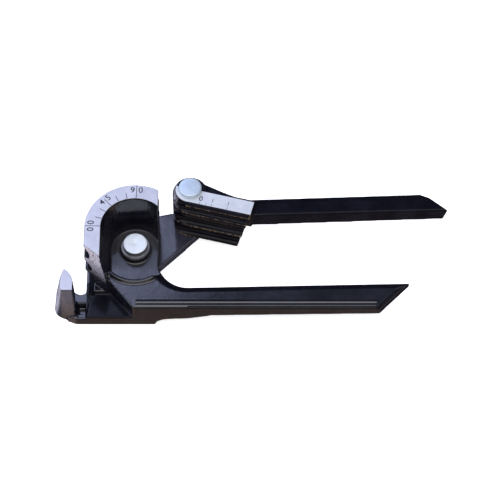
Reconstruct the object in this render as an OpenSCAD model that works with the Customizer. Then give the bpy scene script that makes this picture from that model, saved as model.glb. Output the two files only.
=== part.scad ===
// Three-size hand tube bender: a cast former frame with hook, scale and fixed
// handle, a link that swings about the former, and a grooved shoe lever on it.
// +Z runs along both pins, the tool lies on its back, and the origin is on the
// main pin's axis in the plane of the frame's back.

/* [Former] */
// Outer radius of the former's flanges
former_r = 25.4; // [24:0.1:27]
// Radius from the main pin to the tube's centre line
bend_r = 25.8; // [25.4:0.1:27]
// Inner radius of the cast recess at its mouth
recess_r = 17.1; // [15:0.1:18]
// Inner radius of the recess at its floor
recess_floor_r = 13; // [12:0.1:14]
// Width of one groove and its share of the flanges
groove_pitch = 10.4; // [10.2:0.1:11]
// Groove radii from back to front, for 3/8, 5/16 and 1/4 inch tube
groove_r = [4.85, 4.05, 3.25];
// Depth of the recess floor below the front face
recess_depth = 23.2; // [20:0.1:24]
// Depth of the panel and fixed handle below the front face
panel_depth = 19.4; // [18:0.1:20]
// Where the open right side of the former is cut off
cut_x = 12; // [11.5:0.1:14]

/* [Hook] */
// Inner face of the hook
hook_x = -30; // [-30.4:0.1:-29.6]
// How far the hook's top is below the front face
hook_drop = 2.4; // [1:0.1:5]

/* [Fixed handle] */
// Length from the main pin to the handle's end
handle_len = 139; // [120:1:145]
// Thickness at the root
handle_t = 8.6; // [7:0.1:9]
// Lower edge of the frame and handle
base_y = -36.3; // [-37:0.1:-36]

/* [Link] */
// Thickness of the link
link_t = 5.2; // [5:0.1:6]
// Distance between the two pins
pin_distance = 36.2; // [36:0.1:37]
// Direction of the shoe pin from the main pin
link_angle = 38.6; // [30:0.1:45]

/* [Shoe lever] */
// Distance from the shoe pin to the shoe's grooved face
shoe_face = 9.4; // [9.2:0.1:9.6]
// Slope of the shoe's grooved face
shoe_angle = -14.2; // [-16:0.1:-12]
// Length of the shoe past its pin at the front
shoe_len = 34; // [32:0.5:35]
// Length from the shoe pin to the lever's end
lever_len = 132.6; // [120:1:135]
// Thickness of the lever
lever_t = 9.6; // [8:0.1:10]
// How far the lever's front is below the shoe's
lever_drop = 5; // [4:0.1:6]

/* [Pins] */
// Main pin's radius
main_pin_r = 4; // [3.5:0.1:4.2]
// Main pin head's radius
main_head_r = 6.25; // [6:0.05:6.5]
// Shoe pin's radius
shoe_pin_r = 3; // [2.6:0.1:3]
// Shoe pin head's radius
shoe_head_r = 5.85; // [5.5:0.05:6]

/* [Hidden] */
$fn = 96;
far = 60;             // longer than any cut
gap = 0.3;            // between faces that move past each other
run = 0.05;           // radial clearance of a running fit
seat = 0.03;          // radial clearance of a seated pin
back_z = link_t + gap;                       // back face of the former
front_z = back_z + 3 * groove_pitch;         // ground front face
floor_z = front_z - recess_depth;
panel_z = front_z - panel_depth;
hook_z = front_z - hook_drop;
wall = 1.2;           // washer thickness
boss_z = floor_z + 3;
head_h = 3;
main_head_z = boss_z + wall;                 // underside of the main pin's head
plate_z = 5.6;        // top of the back plate behind the tube slot
plate_y = -22;        // upper edge of the back plate
pocket_z = 7.4;       // floor of the pocket beside the panel
foot_x = 10.2;        // right end of the foot
leg_y = -22;          // end of the former's straight leg
leg_z = 9.4;          // above this the leg ends on the slant
lap = 0.4;            // how far the leg runs up into the round wall
skin = 0.02;          // how much the leg stands out from the round wall
slant = -39.7;        // direction of the line where the scale ends
slant_at = [-21, -14.5, front_z];
draft = 7;            // slope of the frame's lower side
lip_y = -3.2;         // centre of the lip that closes the recess below
lip_r = 17.2;
bevel_w = 4.5;        // bevel along the upper edge of both handles
bevel_h = 3.2;
boss_r = 7.6;
root_x = 27.3;        // where the fixed handle starts
root_top = -22.6;     // its upper edge there
root_r = root_x - cut_x; // fillet between former and fixed handle
root_y = root_top + root_r;
diag = [[-14, -15], [-13, -20.5], [-10.9, -23.4], [-0.6, base_y]];
pin_at = pin_distance * [cos(link_angle), sin(link_angle)];
shoe_back_z = link_t + gap;
shoe_wash_z = shoe_back_z - wall - 0.1;       // washer in the link's counterbore
lever_z = front_z - lever_drop;
knuckle_r = shoe_face - 0.2;
knuckle_slope = 3.6;  // height of the slope round the shoe pin's head
strip_r = shoe_face - 1.7;                   // radius of the ground strip's round end
ring_t = 0.9;         // retaining ring thickness
ring_groove = 0.7;    // depth of its groove
cup_h = 2.3;          // depth of the cup in the link's back
tail_z = 0;           // both pins end flush with the back

flare = (recess_r - recess_floor_r) / recess_depth;   // slope of the recess's side

function groove_z(i) = back_z + groove_pitch * (i + 0.5);

// --- former frame -------------------------------------------------------

// Section of the former's wall with its three grooves, at its own radius
module wall_section(grow = 0) {
    difference() {
        polygon([[recess_floor_r - 4 * flare - grow, back_z - grow], [former_r + grow, back_z - grow],
                 [former_r + grow, front_z + grow], [recess_r - grow, front_z + grow],
                 [recess_floor_r - 4 * flare - grow, floor_z - 4]]);
        for (i = [0:2]) translate([bend_r, groove_z(i)]) circle(groove_r[i] - grow);
    }
}

// Round wall from the open right side to the left, then a straight leg
module former_wall() {
    difference() {
        union() {
            rotate([0, 0, 10]) rotate_extrude(angle = 170) wall_section();
            translate([0, lap, 0]) rotate([90, 0, 0]) linear_extrude(lap - leg_y) mirror([1, 0])
                wall_section(skin);
        }
        translate([cut_x, -1, 0]) cube([far, far, far]);
        // the leg's end is cut on a slant, and its upper part is rubbed down a little
        translate([slant_at[0], slant_at[1], leg_z]) rotate([0, 0, slant])
            translate([-far / 2, -far - 1.6, 0]) cube([far, far, far]);
        translate(slant_at) rotate([0, 0, slant]) rotate([76, 0, 0])
            translate([-far / 2, -far, 0]) cube([far, far, far / 2]);
    }
}

// Plan of the web and panel that join the former to the fixed handle
module panel_shape() {
    difference() {
        polygon([[cut_x, -0.5], [-recess_r, -0.5], [-recess_r, -13], diag[0], diag[1], diag[2], diag[3],
                 [root_x, base_y], [root_x, root_y - root_r + 0.01], [root_x, root_y], [cut_x, root_y]]);
        translate([root_x, root_y]) circle(root_r);
    }
}

// Room inside the recess: flared round top, flared left side, round lip below
module recess_space() {
    intersection() {
        union() {
            translate([0, 0, floor_z])
                cylinder(r1 = recess_floor_r, r2 = recess_r + flare * 4, h = recess_depth + 4);
            translate([0, 0.3, floor_z]) rotate([90, 0, 0]) linear_extrude(far)
                polygon([[-recess_floor_r, 0], [far, 0], [far, recess_depth],
                         [-recess_floor_r - flare * recess_depth, recess_depth]]);
        }
        translate([0, lip_y, floor_z - 1]) cylinder(r = lip_r, h = far);
    }
}

module panel() {
    difference() {
        translate([0, 0, back_z]) linear_extrude(panel_z - back_z) panel_shape();
        recess_space();
        // border that slopes down round the fillet
        translate([root_x, root_y, panel_z - bevel_h])
            cylinder(r1 = root_r, r2 = root_r + 2 * bevel_w, h = 2 * bevel_h);
    }
}

module web() {
    intersection() {
        translate([0, 0, back_z - 2 * skin])
            cylinder(r = recess_floor_r + 2, h = floor_z - back_z + 2 * skin);
        translate([cut_x - far, -1, 0]) cube([far, far, far]);
    }
}

// Foot behind the panel, the plate that carries the hook, and the pocket's floor
module foot() {
    // plate behind the tube slot, its upper edge hollowed
    linear_extrude(plate_z) difference() {
        polygon([[-34.5, -34.5], [-30, base_y], [-14, base_y], [-14, -20.4], [-former_r + 1, -20.4],
                 [-32, plate_y + 3.2], [-34.5, -24]]);
        translate([-28.1, plate_y + 4.6]) circle(4.2);
    }
    // pocket's floor, higher than the plate and carried on above the link's path
    linear_extrude(pocket_z)
        polygon([[-24.8, base_y], [0, base_y], [0, -24], [-14, -20.5], [-19.5, -20.5], [-23.6, -27.8]]);
    translate([0, 0, back_z - 3 * skin]) linear_extrude(pocket_z - back_z + 3 * skin)
        polygon([[-24.8, base_y], [0, base_y], [0, -24], [-12.6, -14.6], [-16.6, -15.6], [-23.6, -27.8]]);
    // block that rise_cut() shapes
    translate([-14.5, base_y, 0]) cube([root_x + 25.5, -25.2 - base_y, pocket_z - 0.5]);
    translate([-1, base_y, 3]) cube([root_x + 12, -25.2 - base_y, 7.5]);
}

// Space below the lower side where it rises from the foot to the handle's back
module rise_cut() {
    translate([0, -16, 0]) rotate([90, 0, 0]) linear_extrude(far)
        polygon([[foot_x, -1], [foot_x, 0], [foot_x + 1.4, 3], [foot_x + 4, 4.6], [foot_x + 7, 5.3],
                 [root_x, 5.9], [root_x + 12.5, 8.8], [root_x + 12.5, -1]]);
}

// Hook with flared sides and a flat top
module hook() {
    difference() {
        hull() {
            translate([0, 0, hook_z - 0.1]) linear_extrude(0.1)
                polygon([[-35, -23.4], [-33, -24.9], [-31.3, -27.2], [-30.3, -30.4], [-30.3, base_y],
                         [-33, base_y], [-35.9, base_y], [-36.9, -34.6], [-36.7, -28.6]]);
            translate([0, 0, 19]) linear_extrude(0.1)
                polygon([[-36.9, -24], [-34.6, -24.6], [-30.2, -28], [-30.2, -35.8], [-33.8, -35.8],
                         [-37, -34.6], [-39.1, -31.8], [-39.5, -29], [-38.7, -25.6]]);
            linear_extrude(0.1)
                polygon([[-38, -24], [-35, -24.6], [hook_x, -27], [hook_x, -34.4], [-34, -34],
                         [-38, -32.4], [-40.6, -30.4], [-41.6, -27.8], [-40.6, -25.2]]);
        }
        // seat for the widest tube
        translate([-bend_r, -20, groove_z(0)]) rotate([90, 0, 0]) cylinder(r = groove_r[0], h = 20);
    }
}

// Bar from the panel to the slanted end, its upper front edge bevelled
module fixed_handle() {
    tip_y = -20.1;
    end_y = -21.9;
    z_back = panel_z - handle_t;
    difference() {
        hull() {
            for (s = [[root_x - 0.05, root_top, 0], [handle_len + 2, tip_y, 2.6]])
                translate([s[0], 0, 0]) rotate([90, 0, 90]) linear_extrude(0.1)
                    polygon([[base_y, z_back + s[2]], [base_y, panel_z - 0.5], [base_y + 0.5, panel_z],
                             [s[1] - bevel_w, panel_z], [s[1], panel_z - bevel_h], [s[1], z_back + s[2]]]);
        }
        // slanted end and the bevel on it
        translate([handle_len, end_y, 0]) rotate([0, 0, -44]) translate([0, -far, 0])
            cube([far, 2 * far, far]);
        translate([handle_len - 2.4, end_y, panel_z]) rotate([0, 0, -44]) rotate([0, -40, 0])
            translate([0, -far, -far / 2]) cube([far, 2 * far, far]);
        // channel in the back
        translate([44, -29.8, z_back - 1]) linear_extrude(4) slot_shape(74, 0.6, 2.6);
    }
}

// Rounded slot that rises by dy over its length
module slot_shape(dx, dy, r) {
    turn = atan2(dy, dx);
    rotate([0, 0, turn]) {
        circle(r);
        translate([norm([dx, dy]), 0]) circle(r);
        translate([0, -r]) square([norm([dx, dy]), 2 * r]);
    }
}

module former_frame() {
    color("#1c1c26") difference() {
        union() {
            former_wall();
            web();
            panel();
            foot();
            hook();
            fixed_handle();
            // raised lip below the recess and boss under the pin's head
            translate([0, lip_y, panel_z]) rotate([0, 0, -137]) rotate_extrude(angle = 80)
                translate([lip_r + 0.7, 0]) circle(1.3);
            translate([0, 0, floor_z - 1]) cylinder(r = boss_r, h = boss_z - floor_z + 1);
            // beads along the lower edge
            for (b = [0.9, 3]) translate([0.5, base_y + b, panel_z - 0.5])
                cube([handle_len - 16, 0.8, 0.9]);
        }
        translate([0, 0, -1]) cylinder(r = main_pin_r + seat, h = far);
        rise_cut();
        // sink between the hook and the pocket
        translate([-29.2, -33.4, 1.2]) cube([4, 6.4, pocket_z]);
        // lower side slopes in towards the back
        translate([0, base_y, panel_z]) rotate([-draft, 0, 0]) translate([-2 * far, -far, -far])
            cube([5 * far, far, far]);
    }
}

// --- pins, washers and ring --------------------------------------------

module main_pin() {
    color("#dfe3ea") difference() {
        union() {
            translate([0, 0, tail_z]) cylinder(r = main_pin_r, h = main_head_z - tail_z + 1);
            translate([0, 0, main_head_z]) cylinder(r = main_head_r, h = head_h - 0.6);
            translate([0, 0, main_head_z + head_h - 0.6])
                cylinder(r1 = main_head_r, r2 = main_head_r - 0.6, h = 0.6);
        }
        translate([0, 0, main_head_z + head_h - 0.3]) cylinder(r1 = 0.1, r2 = 0.5, h = 0.4);
        // groove for the retaining ring
        translate([0, 0, tail_z + 0.3]) difference() {
            cylinder(r = main_pin_r + 1, h = ring_t);
            translate([0, 0, -1]) cylinder(r = main_pin_r - ring_groove, h = ring_t + 2);
        }
    }
}

module washer(r_in, r_out, t) {
    difference() {
        cylinder(r = r_out, h = t);
        translate([0, 0, -1]) cylinder(r = r_in, h = t + 2);
    }
}

module head_washer() {
    color("#8d9098") translate([0, 0, boss_z]) washer(main_pin_r + run, 7.3, wall);
}

module tail_washer() {
    color("#8d9098") translate([0, 0, tail_z + 0.3 + ring_t])
        washer(main_pin_r + run, 6.6, 0.6);
}

module tail_ring() {
    color("#5a5c62") translate([0, 0, tail_z + 0.3]) difference() {
        washer(main_pin_r - ring_groove, 5.6, ring_t);
        translate([-1.4, 0, -1]) cube([2.8, 9, ring_t + 2]);
    }
}

// --- link ----------------------------------------------------------------

module link_arm() {
    color("#23232e") difference() {
        linear_extrude(link_t) hull() {
            circle(r = 12.4);
            translate([13, 15.3]) circle(r = 11.6);
            translate(pin_at) circle(r = 7.8);
        }
        translate([0, 0, -1]) cylinder(r = main_pin_r + run, h = far);
        translate([0, 0, -1]) cylinder(r = 7.4, h = cup_h + 1);
        translate([pin_at[0], pin_at[1], -1]) cylinder(r = shoe_pin_r + seat, h = far);
        translate([pin_at[0], pin_at[1], -1]) cylinder(r = 4.6, h = 2.6);
        translate([pin_at[0], pin_at[1], shoe_wash_z]) cylinder(r = 6.1, h = far);
    }
}

module shoe_pin() {
    top_z = front_z + 0.2;
    color("#dfe3ea") translate([pin_at[0], pin_at[1], 0]) {
        translate([0, 0, tail_z]) cylinder(r = shoe_pin_r, h = top_z - tail_z + 1);
        translate([0, 0, top_z]) cylinder(r = shoe_head_r, h = 1.8);
        translate([0, 0, top_z + 1.8]) cylinder(r1 = shoe_head_r, r2 = shoe_head_r - 0.5, h = 0.5);
        // tail spread into the cup in the link's back
        translate([0, 0, tail_z]) cylinder(r = 4.3, h = 1.2);
    }
}

module shoe_washer() {
    color("#8d9098") translate([pin_at[0], pin_at[1], shoe_wash_z]) washer(shoe_pin_r + seat, 6, wall);
}

// --- shoe lever ----------------------------------------------------------

// Drawn with the shoe pin at the origin and the grooved face along +X at -Y
module shoe_block() {
    slope = atan2(6.8, front_z - shoe_back_z);
    difference() {
        union() {
            translate([0, 0, shoe_back_z])
                cylinder(r = knuckle_r, h = front_z - shoe_back_z - knuckle_slope);
            translate([0, 0, front_z - knuckle_slope])
                cylinder(r1 = knuckle_r, r2 = strip_r, h = knuckle_slope);
            translate([0, -shoe_face, shoe_back_z])
                cube([shoe_len + 2, shoe_face + 2.2, front_z - shoe_back_z]);
        }
        // grooved underside
        for (i = [0:2]) translate([-far / 2, -shoe_face, groove_z(i)]) rotate([0, 90, 0])
            cylinder(r = groove_r[i], h = 2 * far);
        // front edge of the face
        translate([-far / 2, -shoe_face + 1.5, front_z]) rotate([-45, 0, 0])
            translate([0, -far, -far / 2]) cube([2 * far, far, far]);
        // end slopes back, so that the back groove is the shortest
        translate([shoe_len, -far / 2, front_z]) rotate([0, slope, 0]) translate([0, 0, -far])
            cube([far, far, 2 * far]);
        // low land outside the ground strip
        translate([-far, -far, front_z - 1.2]) difference() {
            cube([2 * far, 2 * far, far]);
            translate([far - strip_r, far - shoe_face - 1, -1]) cube([far, shoe_face + 1.6, far]);
        }
    }
}

// Drawn with the shoe pin at the origin, along the tool's own X
module lever_bar() {
    z_back = lever_z - lever_t;
    top = -1.4;
    low = -12.4;
    difference() {
        union() {
            hull() {
                for (s = [[29, top, low - 0.2, 0], [lever_len, 2.5, low + 3.2, 1]])
                    translate([s[0], 0, 0]) rotate([90, 0, 90]) linear_extrude(0.1)
                        polygon([[s[2], z_back + s[3]], [s[2], lever_z - 0.5], [s[2] + 0.5, lever_z],
                                 [s[1] - bevel_w, lever_z], [s[1], lever_z - bevel_h + 0.4],
                                 [s[1], z_back + s[3]]]);
            }
            // root that spreads from the knuckle into the bar
            translate([0, 0, z_back]) linear_extrude(lever_t)
                polygon([[0, knuckle_r - 0.2], [4, 8.2], [10, 5.2], [17, 1.6], [22, -0.6], [26, top - 1.6],
                         [31.6, top - 5], [31.6, -13.4], [28, -15], [24, -14], [0, -2]]);
        }
        // slanted end
        translate([lever_len, low + 3.2, lever_z]) rotate([0, 0, 50]) rotate([0, 10, 0])
            translate([0, -far, -far]) cube([far, 2 * far, 2 * far]);
        translate([lever_len - 1.2, low + 3.2, lever_z]) rotate([0, 0, 50]) rotate([0, -40, 0])
            translate([0, -far, -far / 2]) cube([far, 2 * far, far]);
        // channel in the back
        translate([50, -7.6, z_back - 1]) linear_extrude(4) slot_shape(62, 1.8, 2.4);
    }
}

module shoe_lever() {
    color("#1c1c26") translate([pin_at[0], pin_at[1], 0]) difference() {
        union() {
            rotate([0, 0, shoe_angle]) shoe_block();
            lever_bar();
        }
        // grooves clear of the lever's root
        rotate([0, 0, shoe_angle]) for (i = [0:2]) translate([-far / 2, -shoe_face, groove_z(i)])
            rotate([0, 90, 0]) cylinder(r = groove_r[i], h = 2 * far);
        rotate([0, 0, shoe_angle]) translate([-far / 2, -shoe_face - far, 0])
            cube([far / 2 + shoe_len - 3, far, far]);
        translate([0, 0, -1]) cylinder(r = shoe_pin_r + run, h = far);
    }
}

former_frame();
main_pin();
head_washer();
tail_washer();
tail_ring();
link_arm();
shoe_pin();
shoe_washer();
shoe_lever();
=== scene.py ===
import bmesh
import bpy
import math
from mathutils import Euler, Matrix, Vector


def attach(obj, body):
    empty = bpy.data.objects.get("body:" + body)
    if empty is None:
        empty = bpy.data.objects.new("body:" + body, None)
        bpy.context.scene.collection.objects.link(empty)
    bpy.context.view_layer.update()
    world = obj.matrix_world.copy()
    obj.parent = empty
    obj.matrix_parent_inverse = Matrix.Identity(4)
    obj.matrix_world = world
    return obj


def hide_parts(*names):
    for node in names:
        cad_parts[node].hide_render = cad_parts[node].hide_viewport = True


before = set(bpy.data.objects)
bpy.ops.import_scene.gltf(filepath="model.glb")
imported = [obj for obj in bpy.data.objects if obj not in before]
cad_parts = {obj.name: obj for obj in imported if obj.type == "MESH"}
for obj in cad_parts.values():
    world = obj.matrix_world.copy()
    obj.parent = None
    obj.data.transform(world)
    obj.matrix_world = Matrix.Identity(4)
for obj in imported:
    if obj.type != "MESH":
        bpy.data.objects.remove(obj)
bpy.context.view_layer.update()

MM = 0.001
FRONT = 36.7            # ground front face, mm above the floor
HOOK_TOP = 34.3
PIN = Vector((28.291, 22.584))      # shoe pin's axis
SHOE_TURN = math.radians(-14.2)


# ---------------------------------------------------------------- materials

class Nodes:
    """Small helper that adds nodes to a material and links them."""

    def __init__(self, name):
        self.mat = bpy.data.materials.new(name)
        self.mat.use_nodes = True
        self.tree = self.mat.node_tree
        self.tree.nodes.clear()
        self.out = self.add("ShaderNodeOutputMaterial")
        self.bsdf = self.add("ShaderNodeBsdfPrincipled")
        self.link(self.bsdf.outputs[0], self.out.inputs[0])
        coords = self.add("ShaderNodeTexCoord")
        self.place = coords.outputs["Object"]
        self.normal = coords.outputs["Normal"]

    def add(self, kind, **props):
        node = self.tree.nodes.new(kind)
        for key, value in props.items():
            setattr(node, key, value)
        return node

    def link(self, a, b):
        self.tree.links.new(a, b)

    def math(self, operation, a, b=None, c=None, clamp=False):
        node = self.add("ShaderNodeMath", operation=operation, use_clamp=clamp)
        for socket, value in zip(node.inputs, (a, b, c)):
            if value is None:
                continue
            if isinstance(value, (int, float)):
                socket.default_value = value
            else:
                self.link(value, socket)
        return node.outputs[0]

    def scaled(self, x, y, z, shift=(0, 0, 0), turn=0.0):
        node = self.add("ShaderNodeMapping")
        node.inputs["Scale"].default_value = (x, y, z)
        node.inputs["Location"].default_value = shift
        node.inputs["Rotation"].default_value = (0, 0, turn)
        self.link(self.place, node.inputs[0])
        return node.outputs[0]

    def noise(self, scale, detail=3.0, rough=0.5, vector=None, distort=0.0):
        node = self.add("ShaderNodeTexNoise")
        node.inputs["Scale"].default_value = scale
        node.inputs["Detail"].default_value = detail
        node.inputs["Roughness"].default_value = rough
        node.inputs["Distortion"].default_value = distort
        self.link(vector or self.place, node.inputs["Vector"])
        return node.outputs["Fac"]

    def span(self, value, low, high, to_low=0.0, to_high=1.0):
        node = self.add("ShaderNodeMapRange")
        self.link(value, node.inputs["Value"])
        for key, number in zip(("From Min", "From Max", "To Min", "To Max"), (low, high, to_low, to_high)):
            node.inputs[key].default_value = number
        return node.outputs[0]

    def mix(self, factor, a, b):
        node = self.add("ShaderNodeMix", data_type="RGBA")
        self.link(factor, node.inputs[0])
        for socket, value in ((node.inputs[6], a), (node.inputs[7], b)):
            if isinstance(value, tuple):
                socket.default_value = (*value, 1)
            else:
                self.link(value, socket)
        return node.outputs[2]

    def bump(self, height, strength, distance, before=None):
        node = self.add("ShaderNodeBump")
        node.inputs["Strength"].default_value = strength
        node.inputs["Distance"].default_value = distance
        self.link(height, node.inputs["Height"])
        if before is not None:
            self.link(before, node.inputs["Normal"])
        return node.outputs[0]

    def set(self, **values):
        for key, value in values.items():
            socket = self.bsdf.inputs[key.replace("_", " ")]
            if isinstance(value, tuple):
                socket.default_value = (*value, 1) if len(value) == 3 else value
            elif isinstance(value, (int, float)):
                socket.default_value = value
            else:
                self.link(value, socket)

    def axes(self, vector):
        node = self.add("ShaderNodeSeparateXYZ")
        self.link(vector, node.inputs[0])
        return node.outputs


def enamel(name, worn=None, grey_blue_tone=None, shade=None, metal=(0.36, 0.36, 0.41), coat=0.35, gloss=0.5,
           edge_wear_and_highlight=0.30):
    """Gloss black enamel over cast iron, sharp edges lightened partly as wear and partly as painted edge
    highlight. worn adds bare patches, the next argument a lighter grey-blue tone, shade roughens, metal is
    the lightened edges' colour, and the last argument says how light the edges are."""
    n = Nodes(name)
    cloud = n.noise(95, 4, 0.55)
    fine = n.noise(1300, 2, 0.5)
    grit = n.noise(420, 6, 0.7)
    colour = n.mix(n.span(cloud, 0.3, 0.7), (0.0035, 0.0035, 0.0065), (0.009, 0.009, 0.016))
    # sharp edges are lightened toward the metal colour, partly as wear and partly as painted edge highlight
    edge = n.add("ShaderNodeNewGeometry").outputs["Pointiness"]
    edge = n.span(edge, 0.525, 0.60)
    edge = n.math("MULTIPLY", edge, n.span(grit, 0.42, 0.62), clamp=True)
    bare = n.math("MULTIPLY", edge, edge_wear_and_highlight(n) if callable(edge_wear_and_highlight) else edge_wear_and_highlight, clamp=True)
    # a lighter grey-blue colour mixed in: painted sheen on the link, a plain lighter tone on the hook's flank
    if grey_blue_tone is not None:
        colour = n.mix(grey_blue_tone(n), colour, (0.078, 0.079, 0.112))
    colour = n.mix(bare, colour, metal)
    if worn is not None:
        rubbed = worn(n)
        colour = n.mix(rubbed, colour, (0.74, 0.71, 0.84))
        bare = n.math("MAXIMUM", bare, n.math("MULTIPLY", rubbed, 0.5), clamp=True)
    rough = n.math("ADD", n.span(cloud, 0.3, 0.7, 0.13, 0.22), n.math("MULTIPLY", bare, 0.25))
    if shade is not None:
        rough = n.math("MULTIPLY_ADD", shade(n), 0.5, rough)
    relief = n.bump(n.noise(330, 3, 0.5), 0.09, 0.0006)
    relief = n.bump(fine, 0.10, 0.00012, relief)
    n.set(Base_Color=colour, Roughness=rough, Metallic=n.math("MULTIPLY", bare, 0.7), Normal=relief,
          Coat_Weight=coat, Coat_Roughness=0.06, IOR=1.52, Specular_IOR_Level=gloss)
    return n.mat


def ground_steel(name, turn, low, high):
    """Face ground bright on a belt: short fine lines in one direction, faint stains."""
    n = Nodes(name)
    lines = n.noise(1, 5, 0.6, n.scaled(260, 5200, 400, turn=turn))
    stain = n.noise(160, 5, 0.6)
    colour = n.mix(n.span(stain, 0.35, 0.7), low, high)
    colour = n.mix(n.span(lines, 0.3, 0.75, 0.0, 0.35), colour, (0.42, 0.42, 0.49))
    n.set(Base_Color=colour, Metallic=0.35, Roughness=n.span(lines, 0.3, 0.7, 0.36, 0.52),
          Normal=n.bump(lines, 0.16, 0.00006))
    return n.mat


def turned_steel(name, x, y, low, high, rough=0.3, rings=2600, relief=0.14, metal=0.45,
                 side=None):
    """Turned and plated steel: rings about the axis at x, y. side, when given, is painted shade: a darker
    colour on faces that don't point up.
    """
    n = Nodes(name)
    px, py, pz = n.axes(n.place)
    dx = n.math("SUBTRACT", px, x * MM)
    dy = n.math("SUBTRACT", py, y * MM)
    radius = n.math("SQRT", n.math("ADD", n.math("MULTIPLY", dx, dx), n.math("MULTIPLY", dy, dy)))
    spot = n.add("ShaderNodeCombineXYZ")
    n.link(radius, spot.inputs[0])
    n.link(n.math("MULTIPLY", pz, 0.6), spot.inputs[1])
    groove = n.noise(rings, 3, 0.6, spot.outputs[0])
    stain = n.noise(230, 5, 0.62, distort=0.4)
    colour = n.mix(n.span(stain, 0.32, 0.7), low, high)
    if side is not None:
        # painted shade and dark reflection on the sides, the lit colour kept on faces pointing up
        nx, ny, nz = n.axes(n.normal)
        top = n.span(nz, 0.35, 0.8)
        colour = n.mix(top, side, colour)
        metal = n.math("MULTIPLY_ADD", top, metal - 0.9, 0.9)
    n.set(Base_Color=colour, Metallic=metal, Roughness=n.span(stain, 0.3, 0.7, rough - 0.05, rough + 0.1),
          Normal=n.bump(groove, relief, 0.00008))
    return n.mat


def ink(name):
    n = Nodes(name)
    patchy = n.noise(1500, 3, 0.6)
    n.set(Base_Color=n.mix(n.span(patchy, 0.3, 0.7), (0.008, 0.008, 0.02), (0.03, 0.03, 0.06)),
          Roughness=n.span(patchy, 0.3, 0.7, 0.5, 0.75))
    return n.mat


def frame_wear(n):
    """Rubbed patches on the leg's end below the scale, and the hook's bare left side."""
    x, y, z = n.axes(n.place)
    nx, ny, nz = n.axes(n.normal)
    leg = n.math("MULTIPLY", n.span(ny, -0.45, -0.62), n.span(nx, -0.25, -0.45))
    leg = n.math("MULTIPLY", leg, n.span(z, 0.016, 0.031, 0.0, 0.9))
    leg = n.math("MULTIPLY", leg, n.span(x, -0.0265, -0.0255))
    leg = n.math("MULTIPLY", leg, n.span(x, -0.0120, -0.0135))
    leg = n.math("MULTIPLY", leg, n.span(n.noise(520, 5, 0.7), 0.34, 0.48))
    flank = n.math("MULTIPLY", n.span(x, -0.0350, -0.0365), n.span(nx, -0.60, -0.85, 0.0, 0.85))
    return n.math("MAXIMUM", leg, flank, clamp=True)


def hook_flank_tone(n):
    """A lighter grey-blue tone on the hook's outer flank, stronger towards its top, broken up by noise."""
    x, y, z = n.axes(n.place)
    flank = n.math("MULTIPLY", n.span(x, -0.0300, -0.0312), n.span(z, 0.002, 0.026, 0.15, 1.0))
    return n.math("MULTIPLY", flank, n.span(n.noise(240, 4, 0.6), 0.25, 0.75, 0.75, 1.0), clamp=True)


def recess_shade(n):
    """Less gloss on the upper part of the recess floor."""
    x, y, z = n.axes(n.place)
    radius = n.math("SQRT", n.math("ADD", n.math("MULTIPLY", x, x), n.math("MULTIPLY", y, y)))
    inside = n.math("MULTIPLY", n.span(radius, 0.0172, 0.0162), n.span(z, 0.0176, 0.0168))
    return n.math("MULTIPLY", inside, n.span(y, -0.013, 0.001, 0.0, 0.95), clamp=True)


def knuckle_wear(n):
    """Rubbed rim on the far left of the shoe's round end."""
    x, y, z = n.axes(n.place)
    side = n.math("MULTIPLY", n.span(x, 0.0225, 0.0205), n.span(z, 0.022, 0.034, 0.0, 0.6))
    return n.math("MULTIPLY", side, n.span(n.noise(420, 6, 0.7), 0.42, 0.58), clamp=True)


def frame_edge_wear_and_highlight(n):
    """Edges are lightened, partly as wear and partly as painted edge highlight, except in the pocket beside
    the panel, kept dark there as painted shade, and less towards the handle's end, where the painted
    highlight fades.
    """
    x, y, z = n.axes(n.place)
    # painted shade: no edge lightening in the pocket beside the panel
    pocket = n.math("MULTIPLY", n.span(x, -0.0225, -0.0215), n.span(x, -0.0085, -0.0095))
    pocket = n.math("MULTIPLY", pocket, n.span(y, -0.0150, -0.0160))
    # the painted edge highlight fades towards the handle's end
    return n.math("MULTIPLY", n.math("MULTIPLY_ADD", pocket, -0.9, 1.0), n.span(x, 0.02, 0.09, 0.30, 0.07))


def ridge_highlight_and_edge_wear(n):
    """The ridges between the shoe's grooves are lightened to a warm colour as painted highlight, other edges
    worn hardly at all.
    """
    x, y, z = n.axes(n.place)
    nx, ny, nz = n.axes(n.normal)
    ridge = n.math("MULTIPLY", n.span(x, 0.066, 0.062), n.span(ny, -0.1, -0.4))
    return n.math("MULTIPLY_ADD", ridge, 1.6, 0.1)


def link_painted_sheen(n):
    """A lighter grey-blue tone over all of the link's enamel as painted sheen, broken up by noise."""
    return n.span(n.noise(140, 4, 0.55), 0.3, 0.7, 0.3, 0.5)


black_frame = enamel("black_enamel_frame", frame_wear, hook_flank_tone, recess_shade, edge_wear_and_highlight=frame_edge_wear_and_highlight)
# a dimmed copy of the enamel, little gloss and no coat: painted shade for the pocket's floor
black_pocket_shaded = enamel("black_enamel_pocket_painted_shade", coat=0.0, gloss=0.12, edge_wear_and_highlight=0.03)
# the lever's warm metal colour paints golden highlights on the grooves' ridges
black_lever = enamel("black_enamel_lever", knuckle_wear, None, None, (0.62, 0.43, 0.24), 0.0, 0.1, ridge_highlight_and_edge_wear)
# the link's enamel is lightened to grey-blue all over as painted sheen
black_link = enamel("black_enamel_link", None, link_painted_sheen)
ground = ground_steel("ground_face_scale", 0.5, (0.57, 0.58, 0.66), (0.68, 0.69, 0.76))
ground_shoe = ground_steel("ground_face_shoe", -0.25, (0.68, 0.72, 0.76), (0.80, 0.83, 0.86))
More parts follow.
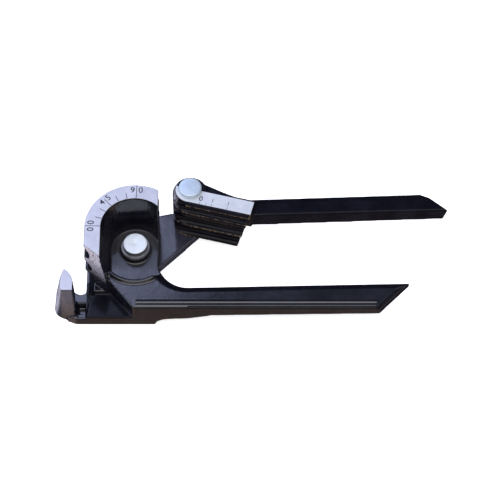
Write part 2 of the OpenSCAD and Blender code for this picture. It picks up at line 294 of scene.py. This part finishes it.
# the main pin's face is near-white as a painted highlight, and its sides are painted dark as painted shade
main_steel = turned_steel("plated_main_pin", 0, 0, (0.80, 0.87, 0.93), (0.91, 0.95, 0.98), 0.5,
                          relief=0.05, metal=0.2, side=(0.20, 0.21, 0.22))
shoe_steel = turned_steel("plated_shoe_pin", PIN.x, PIN.y, (0.50, 0.60, 0.70), (0.64, 0.74, 0.82), 0.34)
dull_main = turned_steel("dull_washer_main", 0, 0, (0.16, 0.165, 0.18), (0.33, 0.34, 0.37), 0.38)
dull_shoe = turned_steel("dull_washer_shoe", PIN.x, PIN.y, (0.2, 0.2, 0.22), (0.36, 0.37, 0.4), 0.38)
dark_spring = turned_steel("spring_ring_steel", 0, 0, (0.05, 0.05, 0.055), (0.14, 0.14, 0.15), 0.42)
mark_ink = ink("scale_ink_black")


# ---------------------------------------------------------------- shapes

def add_object(name, mesh, material, body, slot, *nodes):
    """A visual piece that rides on a body and stands in for the named CAD nodes."""
    piece = bpy.data.objects.new(name, mesh)
    bpy.context.scene.collection.objects.link(piece)
    mesh.materials.clear()
    mesh.materials.append(material)
    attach(piece, body)
    if nodes:
        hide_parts(*nodes)
    return piece


def cast_copy(node, voxel, passes):
    """The node's own surface, its edges and inner corners rounded as in a casting."""
    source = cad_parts[node]
    mesh = source.data.copy()
    mesh.transform(source.matrix_world)
    bm = bmesh.new()
    bm.from_mesh(mesh)
    bmesh.ops.remove_doubles(bm, verts=bm.verts, dist=2e-6)
    bm.to_mesh(mesh)
    bm.free()
    temp = bpy.data.objects.new("temp", mesh)
    bpy.context.scene.collection.objects.link(temp)
    remesh = temp.modifiers.new("remesh", "REMESH")
    remesh.mode = "VOXEL"
    remesh.voxel_size = voxel
    smooth = temp.modifiers.new("smooth", "SMOOTH")
    smooth.factor = 0.5
    smooth.iterations = passes
    graph = bpy.context.evaluated_depsgraph_get()
    done = bpy.data.meshes.new_from_object(temp.evaluated_get(graph))
    bpy.data.objects.remove(temp)
    done.polygons.foreach_set("use_smooth", [True] * len(done.polygons))
    return done


def lathe(name, profile, x, y, steps=96):
    """Closed solid of revolution from (radius, height) points in mm, its edges in the profile."""
    bm = bmesh.new()
    rings = []
    for radius, height in profile:
        if radius == 0:
            rings.append([bm.verts.new((x * MM, y * MM, height * MM))])
            continue
        rings.append([bm.verts.new(((x + radius * math.cos(2 * math.pi * i / steps)) * MM,
                                    (y + radius * math.sin(2 * math.pi * i / steps)) * MM, height * MM))
                      for i in range(steps)])
    pairs = list(zip(rings, rings[1:]))
    if len(rings[0]) > 1:
        pairs.append((rings[-1], rings[0]))
    for a, b in pairs:
        for i in range(steps):
            j = (i + 1) % steps
            if len(a) == 1 and len(b) == 1:
                continue
            if len(a) == 1:
                bm.faces.new((a[0], b[j], b[i]))
            elif len(b) == 1:
                bm.faces.new((a[i], a[j], b[0]))
            else:
                bm.faces.new((a[i], a[j], b[j], b[i]))
    bmesh.ops.recalc_face_normals(bm, faces=bm.faces)
    mesh = bpy.data.meshes.new(name)
    bm.to_mesh(mesh)
    bm.free()
    mesh.polygons.foreach_set("use_smooth", [True] * len(mesh.polygons))
    mesh.set_sharp_from_angle(angle=math.radians(35))
    return mesh


def plate(name, outline, low, high, edge=0.1):
    """Thin plate with an eased upper edge over a closed outline in mm."""
    bm = bmesh.new()
    area = sum(a[0] * b[1] - b[0] * a[1] for a, b in zip(outline, outline[1:] + outline[:1]))
    if area < 0:
        outline = outline[::-1]
    verts = [bm.verts.new((px * MM, py * MM, low * MM)) for px, py in outline]
    base = bm.faces.new(verts)
    base.normal_update()
    if base.normal.z > 0:
        base.normal_flip()
    made = bmesh.ops.extrude_face_region(bm, geom=[base])
    moved = [v for v in made["geom"] if isinstance(v, bmesh.types.BMVert)]
    bmesh.ops.translate(bm, vec=(0, 0, (high - low) * MM), verts=moved)
    bmesh.ops.recalc_face_normals(bm, faces=bm.faces)
    if edge:
        top = [e for e in bm.edges if all(abs(v.co.z - high * MM) < 1e-7 for v in e.verts)]
        bmesh.ops.bevel(bm, geom=top, offset=edge * MM, segments=1, affect="EDGES", clamp_overlap=True)
    mesh = bpy.data.meshes.new(name)
    bm.to_mesh(mesh)
    bm.free()
    return mesh


def arc(radius, start, end, steps):
    """Points on a circle about the origin, from start to end in degrees."""
    turns = [math.radians(start + (end - start) * i / steps) for i in range(steps + 1)]
    return [(radius * math.cos(turn), radius * math.sin(turn)) for turn in turns]


# castings
CAST_VOXEL = 0.00042
LINK_VOXEL = 0.0005
frame_casting = add_object("frame_casting", cast_copy("former_frame", CAST_VOXEL, 2), black_frame,
                           "frame", "black_enamel", "former_frame")
# the pocket's floor takes a dimmed copy of the enamel as painted shade from the leg and hook
frame_casting.data.materials.append(black_pocket_shaded)
for face in frame_casting.data.polygons:
    px, py, pz = face.center
    if -0.0249 < px < 0.0005 and py < -0.0150 and pz < 0.0079 and face.normal.z > 0.3:
        face.material_index = 1
add_object("lever_casting", cast_copy("shoe_lever", CAST_VOXEL, 2), black_lever,
           "lever", "black_enamel", "shoe_lever")
add_object("link_plate", cast_copy("link_arm", LINK_VOXEL, 2), black_link,
           "link", "black_enamel", "link_arm")

# pins and washers
add_object("main_pin_turned", lathe("main_pin_turned", [
    (0, 0), (3.7, 0), (4, 0.3), (3.3, 0.3), (3.3, 1.2), (4, 1.2), (4, 17.7), (6.0, 17.7), (6.2, 17.8),
    (6.25, 18.0), (6.25, 19.9), (6.2, 20.25), (6.03, 20.5), (5.75, 20.65), (5.4, 20.7), (0.75, 20.72),
    (0.55, 20.62), (0, 20.3)], 0, 0), main_steel, "frame", "plated_steel", "main_pin")
add_object("head_washer_turned", lathe("head_washer_turned", [
    (4.05, 16.5), (7.2, 16.5), (7.3, 16.6), (7.3, 17.55), (7.15, 17.7), (4.2, 17.7), (4.05, 17.55)], 0, 0),
    dull_main, "frame", "washer_steel", "head_washer")
add_object("tail_washer_turned", lathe("tail_washer_turned", [
    (4.05, 1.2), (6.5, 1.2), (6.6, 1.3), (6.6, 1.7), (6.5, 1.8), (4.05, 1.8)], 0, 0),
    dull_main, "frame", "washer_steel", "tail_washer")
add_object("shoe_pin_turned", lathe("shoe_pin_turned", [
    (0, 0), (4.0, 0), (4.2, 0.1), (4.3, 0.35), (4.3, 1.2), (3, 1.2), (3, 36.9), (5.6, 36.9), (5.8, 37.0),
    (5.85, 37.2), (5.85, 38.5), (5.8, 38.8), (5.62, 39.03), (5.35, 39.17), (5.0, 39.2), (0, 39.2)],
    PIN.x, PIN.y), shoe_steel, "link", "plated_steel", "shoe_pin")
add_object("shoe_washer_turned", lathe("shoe_washer_turned", [
    (3.03, 4.2), (5.9, 4.2), (6, 4.3), (6, 5.3), (5.9, 5.4), (3.03, 5.4)], PIN.x, PIN.y),
    dull_shoe, "link", "washer_steel", "shoe_washer")
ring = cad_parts["tail_ring"]
ring.data.materials.clear()
ring.data.materials.append(dark_spring)

# ground faces
SLANT = math.radians(-39.7)
direction = Vector((math.cos(SLANT), math.sin(SLANT)))
through = Vector((-21.0, -14.5))


def slant_y(x, back):
    """Where the slanted end of the scale is at x, moved back from the cut."""
    return through.y + (x - through.x) * direction.y / direction.x + back


outer, inner = 25.27, 17.24
scale_face = arc(outer, 62.1, 180, 72) + [(-outer, slant_y(-outer, 0.15)), (-inner, slant_y(-inner, 0.15))]
scale_face += arc(inner, 180, 46.6, 64)
add_object("scale_ring_face", plate("scale_ring_face", scale_face, FRONT - 0.3, FRONT + 0.06), ground,
           "frame", "ground_face")
hook_face = [(-35.0, -23.8), (-33.1, -25.2), (-31.4, -27.4), (-30.45, -30.5), (-30.45, -36.1), (-33.0, -36.1),
             (-35.8, -36.1), (-36.65, -34.6), (-36.45, -28.7)]
add_object("hook_top_face", plate("hook_top_face", hook_face, HOOK_TOP - 0.3, HOOK_TOP + 0.05), ground,
           "frame", "ground_face")


def shoe_xy(u, v):
    """A place given along and across the shoe, from its pin, in the frame's x and y."""
    c, s = math.cos(SHOE_TURN), math.sin(SHOE_TURN)
    return (PIN.x + u * c - v * s, PIN.y + u * s + v * c)


strip = arc(7.5, 176, 270, 24) + [(33.7, -7.5), (33.8, 0.45), (6.5, 0.45), (-7, 0.45)]
strip = [shoe_xy(u, v) for u, v in strip]
add_object("shoe_strip_face", plate("shoe_strip_face", strip, FRONT - 0.3, FRONT + 0.05), ground_shoe,
           "lever", "ground_face")


# scale marks
def bar(x, y, turn, length, width):
    """Corners of a thin bar whose middle is at x, y."""
    c, s = math.cos(turn), math.sin(turn)
    corners = [(side * length / 2, edge * width / 2) for side, edge in ((-1, -1), (1, -1), (1, 1), (-1, 1))]
    return [(x + px * c - py * s, y + px * s + py * c) for px, py in corners]


def marks(name, outlines, body, high):
    """One piece made of thin inked plates."""
    bm = bmesh.new()
    for outline in outlines:
        part = plate("part", outline, FRONT - 0.05, high, 0)
        bm.from_mesh(part)
        bpy.data.meshes.remove(part)
    mesh = bpy.data.meshes.new(name)
    bm.to_mesh(mesh)
    bm.free()
    return add_object(name, mesh, mark_ink, body, "scale_ink")


ZERO_AT = 179.0         # direction of the scale's zero, in degrees
TICK_STEP = 15.2
DIGIT_AT = 22.1         # radius of the digits' middle
ticks = []
for i in range(7):
    angle = ZERO_AT - TICK_STEP * i
    start = 17.35
    stop = {0: 25.0, 3: 22.6, 6: 25.1}.get(i, 20.8)
    middle = (start + stop) / 2
    turn = math.radians(angle)
    ticks.append(bar(middle * math.cos(turn), middle * math.sin(turn), turn, stop - start, 0.34))
marks("scale_ticks", ticks, "frame", FRONT + 0.09)


def digit(name, text, x, y, turn, size, body):
    """One thin digit in the default font, centred at x, y on the ground face."""
    curve = bpy.data.curves.new(name, "FONT")
    curve.body = text
    curve.size = size * MM
    curve.align_x = "CENTER"
    curve.align_y = "CENTER"
    curve.extrude = 0.07 * MM
    curve.offset = 0.034 * MM
    temp = bpy.data.objects.new(name, curve)
    bpy.context.scene.collection.objects.link(temp)
    place = Matrix.Translation((x * MM, y * MM, (FRONT + 0.02) * MM))
    temp.matrix_world = place @ Euler((0, 0, turn)).to_matrix().to_4x4()
    bpy.context.view_layer.update()
    mesh = bpy.data.meshes.new_from_object(temp.evaluated_get(bpy.context.evaluated_depsgraph_get()))
    mesh.transform(temp.matrix_world)
    bpy.data.objects.remove(temp)
    return add_object(name, mesh, mark_ink, body, "scale_ink")


for i, (first, second) in ((0, "00"), (3, "45"), (6, "90")):
    angle = ZERO_AT - TICK_STEP * i
    for side, text in ((1, first), (-1, second)):
        at = math.radians(angle + side * 5.4)
        digit(f"scale_digit_{i}_{'a' if side > 0 else 'b'}", text, DIGIT_AT * math.cos(at),
              DIGIT_AT * math.sin(at), math.radians(angle - 90), 4.8, "frame")
x, y = shoe_xy(6.8, -4.3)
digit("shoe_digit_zero", "0", x, y, SHOE_TURN, 4.0, "lever")
shoe_marks = []
for u, v, length in ((6.8, -6.9, 0.7), (10.2, -6.7, 0.8), (13.0, -6.6, 0.8), (21.2, -6.5, 0.9)):
    x, y = shoe_xy(u, v)
    shoe_marks.append(bar(x, y, SHOE_TURN + math.pi / 2, length, 0.3))
for u in (13.0, 21.2):
    x, y = shoe_xy(u, -3.9)
    shoe_marks.append(bar(x, y, SHOE_TURN + math.pi / 2, 2.4, 0.3))
marks("shoe_strip_marks", shoe_marks, "lever", FRONT + 0.08)

# ---------------------------------------------------------------- stage

bpy.ops.mesh.primitive_plane_add(size=4, location=(0.06, 0, -0.0002))
floor = bpy.context.object
floor.name = "floor"
floor.visible_glossy = False
n = Nodes("white_floor")
n.set(Base_Color=(0.9, 0.9, 0.9), Roughness=0.8, Emission_Color=(1.0, 1.0, 1.0), Emission_Strength=0.8)
floor.data.materials.append(n.mat)

world = bpy.data.worlds.new("studio")
bpy.context.scene.world = world
world.use_nodes = True
tree = world.node_tree
sky = tree.nodes["Background"]
sky.inputs[1].default_value = 1.0
around = tree.nodes.new("ShaderNodeTexCoord")
split = tree.nodes.new("ShaderNodeSeparateXYZ")
tree.links.new(around.outputs["Generated"], split.inputs[0])


def blend_by(value, low, high, a, b):
    """Colour that runs from a to b as value goes from low to high."""
    span = tree.nodes.new("ShaderNodeMapRange")
    span.interpolation_type = "SMOOTHSTEP"
    span.inputs["From Min"].default_value = low
    span.inputs["From Max"].default_value = high
    tree.links.new(value, span.inputs["Value"])
    node = tree.nodes.new("ShaderNodeMix")
    node.data_type = "RGBA"
    tree.links.new(span.outputs[0], node.inputs[0])
    for socket, colour in ((node.inputs[6], a), (node.inputs[7], b)):
        if isinstance(colour, tuple):
            socket.default_value = (*colour, 1)
        else:
            tree.links.new(colour, socket)
    return node.outputs[2]


# below the horizon, which only reflections see: warm in front, dark behind; above it a dim grey-blue
below = blend_by(split.outputs[1], -0.26, -0.02, (0.46, 0.32, 0.22), (0.012, 0.012, 0.02))
below = blend_by(split.outputs[1], -0.62, -0.36, (0.05, 0.04, 0.035), below)
above = blend_by(split.outputs[2], 0.1, 0.9, (0.06, 0.065, 0.085), (0.16, 0.18, 0.25))
tree.links.new(blend_by(split.outputs[2], -0.06, 0.06, below, above), sky.inputs[0])


def softbox(name, place, aim, width, height, power, colour):
    light = bpy.data.lights.new(name, "AREA")
    light.shape = "RECTANGLE"
    light.size = width
    light.size_y = height
    light.energy = power
    light.color = colour
    thing = bpy.data.objects.new(name, light)
    bpy.context.scene.collection.objects.link(thing)
    thing.location = place
    thing.visible_camera = False
    thing.rotation_euler = (Vector(aim) - Vector(place)).to_track_quat("-Z", "Y").to_euler()
    return thing


centre = (0.06, 0, 0.02)
softbox("key_behind", (-0.42, 0.60, 0.90), (-0.03, 0, 0.02), 0.75, 0.55, 4.4, (0.59, 0.66, 1.0))
softbox("fill_top", (0.06, -0.25, 1.2), centre, 1.2, 0.9, 9.0, (1.0, 1.0, 1.0))
softbox("front_low", (0.05, -0.9, 0.35), centre, 1.2, 0.4, 1.6, (1.0, 0.86, 0.74))
softbox("side_left", (-0.8, -0.1, 0.45), centre, 0.5, 0.7, 2.5, (0.92, 0.94, 1.0))
softbox("side_right", (0.95, 0.1, 0.45), centre, 0.5, 0.7, 0.8, (1.0, 0.96, 0.92))

camera_data = bpy.data.cameras.new("camera")
camera_data.lens = 182
camera_data.sensor_width = 36
camera_data.clip_start = 0.01
camera = bpy.data.objects.new("camera", camera_data)
bpy.context.scene.collection.objects.link(camera)
elevation = math.radians(58)
target = Vector((0.059, -0.0024, 0.018))
camera.location = target + 1.3 * Vector((0, -math.cos(elevation), math.sin(elevation)))
camera.rotation_euler = (target - camera.location).to_track_quat("-Z", "Y").to_euler()
bpy.context.scene.camera = camera
bpy.context.scene.view_settings.view_transform = "Standard"
